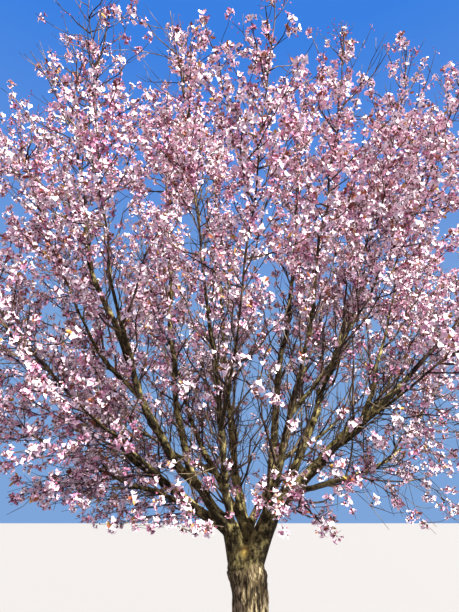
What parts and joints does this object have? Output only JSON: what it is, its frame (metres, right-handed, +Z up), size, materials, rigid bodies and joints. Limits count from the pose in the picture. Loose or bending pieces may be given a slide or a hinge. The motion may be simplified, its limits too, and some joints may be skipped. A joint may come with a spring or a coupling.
{
  "type": "flowering cherry tree",
  "caption": "Whole flowering cherry tree in full pink blossom: a short flared trunk forks low into many rising boughs that carry a broad, open, rounded crown.",
  "frame": {"origin": "middle of the flat cut under the trunk, at ground level", "axes": "+Z up along the trunk, +Y away from the side that the picture shows, +X to the viewer's right"},
  "size_m": [6.0789, 4.7939, 5.9911],
  "materials": {
    "trunk_bark": "rough grey-brown bark, furrowed up to the graft",
    "bough_bark": "smoother olive-brown bark with green algae on top",
    "blossom": "soft matt pale pink petals on thin dark twigs"
  },
  "bodies": {
    "root": {"blossom_back_left": "blossom", "blossom_back_left_low": "blossom", "blossom_back_low": "blossom", "blossom_back_middle": "blossom", "blossom_back_right": "blossom", "blossom_back_right_low": "blossom", "blossom_centre_left": "blossom", "blossom_centre_right": "blossom", "blossom_fork_left": "blossom", "blossom_fork_right": "blossom", "blossom_front_left": "blossom", "blossom_front_left_side": "blossom", "blossom_front_right": "blossom", "blossom_front_right_side": "blossom", "blossom_left_back": "blossom", "blossom_left_front": "blossom", "blossom_left_inner": "blossom", "blossom_left_leader": "blossom", "blossom_left_leader_front": "blossom", "blossom_left_leader_outer": "blossom", "blossom_left_low": "blossom", "blossom_left_main": "blossom", "blossom_right_back": "blossom", "blossom_right_front": "blossom", "blossom_right_low": "blossom", "blossom_right_main": "blossom", "blossom_right_top": "blossom", "blossom_right_upper": "blossom", "blossom_right_upper_back": "blossom", "blossom_right_upper_front": "blossom", "bough_back_left": "bough_bark", "bough_back_left_low": "bough_bark", "bough_back_low": "bough_bark", "bough_back_middle": "bough_bark", "bough_back_right": "bough_bark", "bough_back_right_low": "bough_bark", "bough_centre_left": "bough_bark", "bough_centre_right": "bough_bark", "bough_front_left": "bough_bark", "bough_front_left_side": "bough_bark", "bough_front_right": "bough_bark", "bough_front_right_side": "bough_bark", "bough_left_back": "bough_bark", "bough_left_front": "bough_bark", "bough_left_inner": "bough_bark", "bough_left_leader": "bough_bark", "bough_left_leader_front": "bough_bark", "bough_left_leader_outer": "bough_bark", "bough_left_low": "bough_bark", "bough_left_main": "bough_bark", "bough_right_back": "bough_bark", "bough_right_front": "bough_bark", "bough_right_low": "bough_bark", "bough_right_main": "bough_bark", "bough_right_top": "bough_bark", "bough_right_upper": "bough_bark", "bough_right_upper_back": "bough_bark", "bough_right_upper_front": "bough_bark", "trunk": "trunk_bark"}
  },
  "joints": []
}
